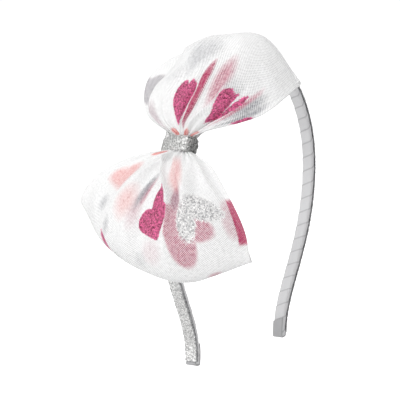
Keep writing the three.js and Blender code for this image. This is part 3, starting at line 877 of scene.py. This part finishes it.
LOWER_PRINTS = [
    ("heart", 0.625, 0.37, 18.5, 14, 148, "magenta", "face", 1.0, 0.3, ("long_pleat", -1)),
    ("petal", 0.585, 0.235, 6.5, 14, 0, "magenta", "face", 1.0, 0.3, ("long_pleat", -1)),
    ("petal", 0.76, 0.288, 9.5, 17, -14, "silver", "face", 0.95, 1.0, None),
    ("petal", 0.84, 0.25, 9.5, 21, -66, "silver", "face", 0.95, 1.0, None),
    ("petal", 0.73, 0.34, 12, 24, -24, "magenta", "under", 1.05, 0.5, ("long_pleat", 1)),
    ("petal", 0.775, 0.3, 11, 23, -62, "magenta", "under", 1.05, 0.5, ("long_pleat", 1)),
    ("petal", 0.69, 0.295, 13, 14, -45, "magenta", "under", 1.05, 0.5, ("long_pleat", 1)),
    ("strip", 1.0, 0.315, 5.5, 18.5, 0, "magenta", "under", 3.2, 0.3, None),
    ("petal", 0.965, 0.305, 7, 16, 0, "magenta", "under", 0.6, 0.8, None),
    ("heart", 0.25, 0.25, 17, 15, 138, "coral", "under", 1.05, 2.0, None),
    ("petal", 0.35, 0.275, 9, 13, 0, "coral", "under", 0.75, 2.5, None),
    ("petal", 0.43, 0.285, 6, 13, 0, "magenta", "under", 0.6, 2.0, None),
    # These two petals, silver and magenta under the face, darken the shadow valley: painted shade.
    ("petal", 0.44, 0.21, 4, 14, 12, "silver", "under", 1.5, 1.2, None),
    ("petal", 0.46, 0.215, 4, 12, 12, "magenta", "under", 1.3, 1.0, None),
    ("petal", 0.64, 0.12, 10, 17, -50, "coral", "under", 0.75, 1.5, ("long_pleat", 1)),
    ("petal", 0.66, 0.15, 3, 18, -6, "magenta", "under", 0.5, 1.5, ("long_pleat", 1)),
    ("petal", 0.685, 0.215, 5, 10, -10, "magenta", "under", 1.5, 0.8, None),
    ("petal", 0.685, 0.215, 5, 9, -10, "silver", "under", 0.7, 0.8, None),
    ("petal", 0.285, 0.468, 2.6, 10, -35, "magenta", "face", 1.0, 0.3, None),
    ("petal", 0.36, 0.485, 1.4, 8, -70, "silver", "face", 1.0, 0.3, None),
    ("petal", 0.86, 0.5, 4.5, 3.2, 0, "magenta", "under", 0.8, 0.8, None),
    ("petal", 0.2, 0.335, 4, 7, 0, "silver", "under", 0.7, 1.0, None),
    ("petal", 0.28, 0.4, 3, 6, 0, "silver", "under", 0.7, 1.0, None),
    ("petal", 0.525, 0.45, 5, 5, 0, "silver", "under", 0.4, 1.2, None),
    ("petal", 0.59, 0.41, 9, 8, 0, "magenta", "under", 0.3, 2.0, None),
    ("petal", 0.15, 0.045, 9, 4, 0, "coral", "under", 2.2, 0.8, None),
    ("heart", 0.3, 0.85, 17, 15, 0, "magenta", "face", 1.0, 0.3, None),
    ("heart", 0.72, 0.82, 17, 15, 190, "magenta", "face", 1.0, 0.3, None),
    ("heart", 0.5, 0.68, 17, 15, 60, "silver", "face", 1.0, 0.4, None),
    ("heart", 0.1, 0.62, 17, 15, -30, "coral", "face", 1.0, 0.4, None),
    ("heart", 0.92, 0.86, 17, 15, 20, "coral", "face", 1.0, 0.4, None),
]


# %% Distance to the outline of a print
HEART_WIDTH = 1.207
HEART_HEIGHT = 1.103


def heart_depth(x, y):
    """How deep a point lies in a heart that stands on its point at the origin and has its notch at 0, 1."""
    x = np.abs(x)
    lobe = math.sqrt(2) / 4 - np.hypot(x - 0.25, y - 0.75)
    along = np.maximum(x + y, 0) / 2
    edge = np.sqrt(np.minimum(x**2 + (y - 1) ** 2, (x - along) ** 2 + (y - along) ** 2)) * np.sign(y - x)
    return np.where(x + y > 1, lobe, edge)


def petal_depth(x, y):
    return 0.5 - np.hypot(x, y)


def strip_depth(x, y):
    return 0.5 - np.maximum(np.abs(x), np.abs(y))


def print_depth(row, across_mm, along_mm, cut):
    shape, across, along, width, height, turn = row[:6]
    turn = math.radians(turn)
    x = across_mm - across * cut[0]
    y = along_mm - along * cut[1]
    local_x = x * math.cos(turn) + y * math.sin(turn)
    local_y = y * math.cos(turn) - x * math.sin(turn)
    if shape == "heart":
        return heart_depth(local_x * HEART_WIDTH / width, local_y * HEART_HEIGHT / height) * width / HEART_WIDTH
    depth = strip_depth if shape == "strip" else petal_depth
    return depth(local_x / width, local_y / height) * width


def paint_prints(piece, loop, prints, across, along_share, out, cut):
    """Keeps how much of each ink lies on the face and under it, as two attributes of three numbers each."""
    plies = {"face": np.zeros((len(across), 3)), "under": np.zeros((len(across), 3))}
    for row in prints:
        ink, ply, strength, softness, kept = row[6:]
        depth = print_depth(row, across * cut[0], along_share * cut[1], cut)
        cover = strength * np.clip(0.5 + depth / (2 * softness), 0, 1)
        if kept:
            beyond = (across - crease_line(loop["creases"][kept[0]], out)) * kept[1] * cut[0]
            cover = cover * np.clip(0.5 + beyond / 0.6, 0, 1)
        channel = plies[ply][:, INKS.index(ink)]
        np.maximum(channel, cover, out=channel)
    paint(piece, "print_face", plies["face"])
    paint(piece, "print_under", plies["under"])


print("prints:", len(UPPER_PRINTS), "on the upper loop and", len(LOWER_PRINTS), "on the lower loop")

# %% [markdown]
# ## Making the two loops
# The grid is as fine as the folds need, about half a millimetre. After the vertices are in place, the faces have
# to point outwards, and Solidify gives the tulle its thickness. Its inner side takes the material slot after the
# outer one, because a print looks different from behind.
# Each loop prints the size that it was cut to. The cut is wide at the fold and
# narrows towards the knot, so its area is printed as well.

# %% Tulle loops
CLOTH_THICKNESS = 0.3
CLOTH_GRID = 0.5


def make_loop(name, loop, prints, seed):
    *_, cut_length = place_loop(loop, np.array([0.5]), np.array([0.5]), seed)
    cut = (loop["cut_width"], cut_length)
    piece, across, along = flat_strip(name, round(cut[0] / CLOTH_GRID), round(cut[1] / CLOTH_GRID))
    places, out, _, _ = place_loop(loop, across, along, seed)
    move_vertices(piece, places)
    paint_prints(piece, loop, prints, across, along, out, cut)
    keep_flat_map(piece, *cut)
    if piece.data.polygons[len(piece.data.polygons) // 4].normal @ Vector(off_head) < 0:
        in_edit_mode((bpy.ops.mesh.flip_normals, {}))
    area = sum(face.area for face in piece.data.polygons)
    print(name, "is cut", [round(x) for x in cut], "mm and covers", round(area / MM**2), "square mm")
    return piece, cut, area


upper_cloth, upper_cut, upper_area = make_loop("tulle_loop_upper", UPPER_LOOP, UPPER_PRINTS, 3)
lower_cloth, lower_cut, lower_area = make_loop("tulle_loop_lower", LOWER_LOOP, LOWER_PRINTS, 5)

# %% [markdown]
# ## The glitter wrap of the knot
# A short piece of glitter ribbon is drawn round the band and the gathered cloth and glued behind. It runs like a
# belt round pulleys: round the corners of the band, and round the two ends of the gathers.
# The belt is found from its outermost point in each direction, walked at even steps, and a grid is laid on it.
# The wrap swells in the middle, has a few wrinkles that run round it, and the same grit as the glitter ribbon.

# %% Knot wrap
BELT_DIRECTIONS = 720
WRAP_GRIT = 0.4
KNOT_WALL = 1.0
KNOT_EDGE = 0.35
KNOT_BULGE = 0.2
KNOT_SLIPPED_DOWN = 0.5
KNOT_WRINKLES = 2.5
KNOT_WRINKLE_HEIGHT = 0.16
BAND_CORNER_RADIUS = 0.75
BELT_CORNER_FORWARD = 1.95
BELT_LOW_CORNER = -0.93
BELT_HIGH_CORNER = 1.45
BELT_PULLEYS = [
    # forward, height, radius
    (-BELT_CORNER_FORWARD, BELT_LOW_CORNER, BAND_CORNER_RADIUS),
    (BELT_CORNER_FORWARD, BELT_LOW_CORNER, BAND_CORNER_RADIUS),
    (-BELT_CORNER_FORWARD, BELT_HIGH_CORNER, BAND_CORNER_RADIUS),
    (BELT_CORNER_FORWARD, BELT_HIGH_CORNER, BAND_CORNER_RADIUS),
    (KNOT_FORWARD - 0.1, KNOT_OUTWARD, 2.6),
    (KNOT_FORWARD + 2.7, KNOT_OUTWARD, 2.8),
]


def belt():
    """The belt's points and outward directions, walked at even steps, and its girth."""
    angles = np.linspace(0, 2 * math.pi, BELT_DIRECTIONS + 1)
    ways = np.stack([np.cos(angles), np.sin(angles)], axis=1)
    pulleys = np.array(BELT_PULLEYS)
    furthest = (ways @ pulleys[:, :2].T + pulleys[:, 2]).argmax(axis=1)
    points = pulleys[furthest, :2] + pulleys[furthest, 2:] * ways
    steps = np.linalg.norm(np.diff(points, axis=0), axis=1)
    return np.concatenate([[0], np.cumsum(steps)]), points, ways


belt_walked, belt_points, belt_ways = belt()
belt_girth = belt_walked[-1]


def make_knot():
    knot, round_share, length_share = flat_strip(
        "knot_glitter_wrap", round(belt_girth / WRAP_GRIT), round(KNOT_LENGTH / WRAP_GRIT)
    )
    walk = round_share * belt_girth
    point = [np.interp(walk, belt_walked, belt_points[:, k]) for k in (0, 1)]
    way = [np.interp(walk, belt_walked, belt_ways[:, k]) for k in (0, 1)]
    long = 2 * length_share - 1
    swell = KNOT_EDGE + (KNOT_WALL - KNOT_EDGE) * np.sqrt(1 - np.abs(long) ** 4) + KNOT_BULGE * (1 - long**2)
    wrinkle = KNOT_WRINKLE_HEIGHT * np.sin(math.pi * KNOT_WRINKLES * long + 1.6 * np.sin(walk / 3))
    random = np.random.default_rng(23)
    grit = random.uniform(-GRIT_HEIGHT, GRIT_HEIGHT, len(walk))
    matching = round_share > 1 - 1e-6
    grit[np.flatnonzero(matching)] = grit[np.flatnonzero(round_share < 1e-6)]
    at_gathers = np.clip(point[0] / KNOT_FORWARD, 0, 1)
    swell = KNOT_EDGE + (swell - KNOT_EDGE) * at_gathers
    height = swell + wrinkle * at_gathers * (1 - long**4) + grit
    along = long * KNOT_LENGTH / 2 - KNOT_SLIPPED_DOWN
    places = (
        band_at_knot
        + along[:, None] * towards_top
        + (point[0] + height * way[0])[:, None] * FRONT
        + (point[1] + height * way[1])[:, None] * off_head
    )
    move_vertices(knot, places)
    # Painted shade: the side value grows towards the front of the knot wrap, and the finish darkens that side.
    paint(knot, "side", np.clip(way[0], 0, 1))
    keep_flat_map(knot, belt_girth, KNOT_LENGTH)
    in_edit_mode(
        (bpy.ops.mesh.remove_doubles, {"threshold": 0.01 * MM}),
        (bpy.ops.mesh.normals_make_consistent, {"inside": False}),
    )
    give_thickness(knot, KNOT_EDGE * 0.8, offset=-1.0)
    finish_piece(knot, "knot", "knot_wrap", smooth=False)
    return knot


knot = make_knot()

# %% [markdown]
# ## A group for glitter
# Glitter is thousands of tiny mirrors, each with its own tilt and its own tone. A Voronoi texture cuts a surface
# into cells of about one flake and gives each a random colour. One channel of that colour becomes the flake's
# tone, and all three tilt its normal. Both change over the surface, so a group may give them out.

# %% Glitter group
glitter_group, takes, gives = new_group(
    "glitter_flakes",
    [("Place", "Vector"), ("Flake Size", "Float", 0.0004), ("Tilt", "Float", 0.8)],
    [("Tone", "Float"), ("Glint", "Float"), ("Normal", "Vector")],
)
cells = node(glitter_group, "ShaderNodeTexVoronoi")
feed(glitter_group, cells.inputs["Vector"], takes["Place"])
feed(glitter_group, cells.inputs["Scale"], maths(glitter_group, "DIVIDE", 1.0, takes["Flake Size"]))
chance = separate(glitter_group, cells.outputs["Color"])
feed(glitter_group, gives["Tone"], chance[0])
feed(glitter_group, gives["Glint"], ramp(glitter_group, chance[1], 0.8, 0.95))
centred = vector_maths(glitter_group, "SUBTRACT", cells.outputs["Color"], (0.5, 0.5, 0.5))
tilted = vector_maths(glitter_group, "SCALE", centred)
feed(glitter_group, tilted.node.inputs["Scale"], takes["Tilt"])
upright_normal = node(glitter_group, "ShaderNodeNewGeometry").outputs["Normal"]
leaning = vector_maths(glitter_group, "ADD", upright_normal, tilted)
feed(glitter_group, gives["Normal"], vector_maths(glitter_group, "NORMALIZE", leaning))
print("groups:", glitter_group.name)

# %% [markdown]
# ## A group for the net
# Tulle is a net: threads that leave small open holes. Two sets of slanting waves, one leaning each way, cross
# into a mesh of diamonds close to the real one. The group gives the threads as a mask, and a noise that thickens
# some of them, because no two holes of a real net are the same.

# %% Net group
net_group, takes, gives = new_group(
    "tulle_net",
    [("Place", "Vector"), ("Pitch", "Float", 0.0009)],
    [("Thread", "Float")],
)
unevenness = node(net_group, "ShaderNodeTexNoise")
feed(net_group, unevenness.inputs["Vector"], takes["Place"])
unevenness.inputs["Scale"].default_value = 900
flat_x, flat_y, _ = separate(net_group, takes["Place"])
wave_number = maths(net_group, "DIVIDE", 2 * math.pi, takes["Pitch"])
waves = []
for lean_way in ("ADD", "SUBTRACT"):
    walk = maths(net_group, "MULTIPLY", maths(net_group, lean_way, flat_x, flat_y), wave_number)
    waves.append(maths(net_group, "COSINE", walk))
highest = maths(net_group, "MAXIMUM", *waves)
uneven = maths(net_group, "ADD", highest, maths(net_group, "MULTIPLY", unevenness.outputs[0], 1.3))
feed(net_group, gives["Thread"], ramp(net_group, uneven, 0.7, 1.7))
print("groups:", glitter_group.name, net_group.name)

# %% [markdown]
# ## The tulle's finish
# White threads over a white ply give a soft, slightly blotchy white. The print on the face is solid glitter ink.
# The print of the ply below shows in the holes only, so it is mixed in where there is no thread.
# The cloth isn't quite opaque: its holes let a little of what is behind them through, which is set as alpha.
# The back of the cloth shows the face's print through the net, so it is the same finish with the ink held back.

# %% Tulle material
WHITE_THREAD = (0.88, 0.88, 0.88, 1)
# The holes are painted a little darker than the threads: painted shade of the ply seen through them.
WHITE_HOLE_SHADED = (0.84, 0.84, 0.84, 1)
INK_DARK = {"magenta": (0.13, 0.004, 0.03, 1), "silver": (0.22, 0.22, 0.23, 1), "coral": (0.75, 0.28, 0.24, 1)}
INK_LIGHT = {"magenta": (0.84, 0.14, 0.34, 1), "silver": (1.0, 0.99, 0.98, 1), "coral": (0.95, 0.52, 0.48, 1)}
UNDER_INK = {"magenta": (0.45, 0.025, 0.11, 1), "silver": (0.25, 0.25, 0.28, 1), "coral": (0.8, 0.27, 0.25, 1)}
NET_PITCH = 0.8 * MM
INK_FLAKE = 0.45 * MM
HOLE_ALPHA = 0.6


def read_attribute(tree, name, output="Vector"):
    return node(tree, "ShaderNodeAttribute", attribute_name=name).outputs[output]


def make_tulle(name, ink_shows):
    material, tree, surface = new_material(name)
    flat_place = node(tree, "ShaderNodeUVMap", uv_map="cloth").outputs[0]
    thread = place_group(tree, net_group, Place=flat_place, Pitch=NET_PITCH)["Thread"]
    flakes = place_group(tree, glitter_group, Place=flat_place, Flake_Size=INK_FLAKE, Tilt=0.9)
    face = separate(tree, read_attribute(tree, "print_face"))
    under = separate(tree, read_attribute(tree, "print_under"))
    in_holes = maths(tree, "SUBTRACT", 1.0, maths(tree, "MULTIPLY", thread, 0.75))
    colour = mix(tree, "RGBA", thread, WHITE_HOLE_SHADED, WHITE_THREAD)
    for ink, cover in zip(INKS, under):
        seen_share = maths(tree, "MULTIPLY", cover, in_holes)
        colour = mix(tree, "RGBA", seen_share, colour, UNDER_INK[ink])
    any_ink = None
    for ink, cover in zip(INKS, face):
        speckled = maths(tree, "MULTIPLY_ADD", maths(tree, "SUBTRACT", flakes["Tone"], 0.5), 0.55, cover)
        outline = ramp(tree, speckled, 0.3, 0.7, 0.0, ink_shows)
        toned = mix(tree, "RGBA", flakes["Tone"], INK_DARK[ink], INK_LIGHT[ink])
        colour = mix(tree, "RGBA", outline, colour, toned)
        any_ink = outline if any_ink is None else maths(tree, "MAXIMUM", any_ink, outline)
    shiny = maths(tree, "MULTIPLY", any_ink, flakes["Glint"])
    net_bump = node(tree, "ShaderNodeBump")
    net_bump.inputs["Strength"].default_value = 0.25
    net_bump.inputs["Distance"].default_value = 0.1 * MM
    feed(tree, net_bump.inputs["Height"], thread)
    normal = mix(tree, "VECTOR", any_ink, net_bump.outputs[0], flakes["Normal"])
    feed(tree, surface["Base Color"], colour)
    feed(tree, surface["Normal"], normal)
    feed(tree, surface["Metallic"], maths(tree, "MULTIPLY", shiny, 0.8))
    feed(tree, surface["Roughness"], mix(tree, "FLOAT", any_ink, 0.85, 0.4))
    opaque = maths(tree, "MAXIMUM", thread, any_ink)
    feed(tree, surface["Alpha"], ramp(tree, opaque, 0.0, 1.0, HOLE_ALPHA, 1.0))
    surface["Sheen Weight"].default_value = 0.1
    return material


tulle_face = make_tulle("tulle_printed_face", 1.0)
tulle_back = make_tulle("tulle_reverse", 0.45)
for cloth, node_name in ((upper_cloth, "bow_upper_loop"), (lower_cloth, "bow_lower_loop")):
    cloth.data.materials.append(tulle_face)
    cloth.data.materials.append(tulle_back)
    bpy.context.view_layer.objects.active = cloth
    give_thickness(cloth, CLOTH_THICKNESS, reverse_material=1)
    finish_piece(cloth, "tulle", node_name)
print("materials:", tulle_face.name, tulle_back.name)

# %% [markdown]
# ## Finish of the glitter ribbon and the knot
# The same group drives the silver. Flakes go from dark grey to nearly white, and most are metal. The edges that
# are turned down over the band's sides, and the front of the knot wrap, are painted darker: painted shade.

# %% Glitter ribbon material
# Each finish has tones for the lit face and darker tones for its sides: painted shade.
TRIM_LIT = ((0.4, 0.4, 0.4, 1), (1.0, 1.0, 0.99, 1))
TRIM_SHADED_SIDE = ((0.15, 0.15, 0.155, 1), (0.45, 0.45, 0.46, 1))
KNOT_LIT = ((0.22, 0.22, 0.215, 1), (1.0, 1.0, 0.99, 1))
KNOT_SHADED_SIDE = ((0.02, 0.02, 0.02, 1), (0.48, 0.48, 0.47, 1))


def make_silver(name, lit_tones, shaded_side_tones, flake_size, tilt):
    material, tree, surface = new_material(name)
    place = node(tree, "ShaderNodeTexCoord").outputs["Object"]
    flakes = place_group(tree, glitter_group, Place=place, Flake_Size=flake_size, Tilt=tilt)
    lit = mix(tree, "RGBA", flakes["Tone"], *lit_tones)
    shaded_side_colour = mix(tree, "RGBA", flakes["Tone"], *shaded_side_tones)
    # Painted shade: the colour goes to the darker side tones where the side attribute is high.
    side = ramp(tree, read_attribute(tree, "side", "Fac"), 0.0, 0.9)
    feed(tree, surface["Base Color"], mix(tree, "RGBA", side, lit, shaded_side_colour))
    feed(tree, surface["Normal"], flakes["Normal"])
    feed(tree, surface["Roughness"], ramp(tree, flakes["Glint"], 0.0, 1.0, 0.45, 0.2))
    surface["Metallic"].default_value = 0.75
    return material


trim_silver = make_silver("silver_glitter_ribbon", TRIM_LIT, TRIM_SHADED_SIDE, 0.5 * MM, 0.7)
knot_silver = make_silver("silver_glitter_knot", KNOT_LIT, KNOT_SHADED_SIDE, 0.5 * MM, 0.9)
trim.data.materials.append(trim_silver)
knot.data.materials.append(knot_silver)
print("materials:", trim_silver.name, knot_silver.name)

# %% [markdown]
# ## Finish of the wound ribbon
# Satin ribbon is woven with long threads on its face, which run along the ribbon and give it a soft shine. Fine
# ribs are drawn on the cloth map, each lap has its own slight tone, and a painted shadow line runs along each
# lap's edge. The folded ends are painted darker all over: painted shade.

# %% Ribbon material
RIBBON_GREY = (0.58, 0.58, 0.59, 1)
RIBBON_LIGHT = (0.66, 0.66, 0.67, 1)
LAP_SHADE = (0.3, 0.3, 0.31, 1)
RIB_PITCH = 0.35 * MM

rib_group, takes, gives = new_group(
    "ribbon_ribs",
    [("Place", "Vector"), ("Pitch", "Float", 0.0004)],
    [("Rib", "Float"), ("Slub", "Float")],
)
_, rib_y, _ = separate(rib_group, takes["Place"])
rib_walk = maths(rib_group, "MULTIPLY", rib_y, maths(rib_group, "DIVIDE", 2 * math.pi, takes["Pitch"]))
feed(rib_group, gives["Rib"], ramp(rib_group, maths(rib_group, "SINE", rib_walk), -1.0, 1.0))
slub = node(rib_group, "ShaderNodeTexNoise")
feed(rib_group, slub.inputs["Vector"], takes["Place"])
slub.inputs["Scale"].default_value = 700
feed(rib_group, gives["Slub"], slub.outputs[0])

ribbon_material, tree, surface = new_material("satin_ribbon")
ribs = place_group(
    tree, rib_group, Place=node(tree, "ShaderNodeUVMap", uv_map="cloth").outputs[0], Pitch=RIB_PITCH
)
tone = maths(tree, "MULTIPLY_ADD", ribs["Rib"], 0.3, maths(tree, "MULTIPLY", ribs["Slub"], 0.4))
tone = maths(tree, "MULTIPLY_ADD", read_attribute(tree, "lap_tone", "Fac"), 0.4, tone)
ribbon_colour = mix(tree, "RGBA", tone, RIBBON_GREY, RIBBON_LIGHT)
# Painted shade: mixes the ribbon towards LAP_SHADE along the lap edges and over the folded ends.
shade_share = ramp(tree, read_attribute(tree, "ribbon_shade", "Fac"), 0.1, 0.9, 0.0, 0.8)
ribbon_colour = mix(tree, "RGBA", shade_share, ribbon_colour, LAP_SHADE)
rib_bump = node(tree, "ShaderNodeBump")
rib_bump.inputs["Strength"].default_value = 0.4
rib_bump.inputs["Distance"].default_value = 0.05 * MM
feed(tree, rib_bump.inputs["Height"], ribs["Rib"])
feed(tree, surface["Base Color"], ribbon_colour)
feed(tree, surface["Normal"], rib_bump.outputs[0])
feed(tree, surface["Roughness"], ramp(tree, ribs["Slub"], 0.0, 1.0, 0.35, 0.6))
surface["Sheen Weight"].default_value = 0.2
for piece in (ribbon, *tip_folds):
    piece.data.materials.append(ribbon_material)
print("materials:", ribbon_material.name)

# %% [markdown]
# ## Finish of the plastic core
# The moulded core is hidden under the ribbon, but it is still a part of the object. Its shape is right as it
# comes, so only its material is changed: milky plastic with the faint flow lines of moulding.

# %% Core material
PLASTIC_PALE = (0.78, 0.77, 0.74, 1)
PLASTIC_WARM = (0.7, 0.68, 0.63, 1)

core_material, tree, surface = new_material("moulded_plastic")
flow = node(tree, "ShaderNodeTexNoise")
flow.inputs["Scale"].default_value = 300
feed(tree, flow.inputs["Vector"], node(tree, "ShaderNodeTexCoord").outputs["Object"])
feed(tree, surface["Base Color"], mix(tree, "RGBA", flow.outputs[0], PLASTIC_PALE, PLASTIC_WARM))
feed(tree, surface["Roughness"], ramp(tree, flow.outputs[0], 0.3, 0.7, 0.35, 0.5))
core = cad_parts["band_core"]
for slot in core.material_slots:
    slot.material = core_material
print("materials:", core_material.name)
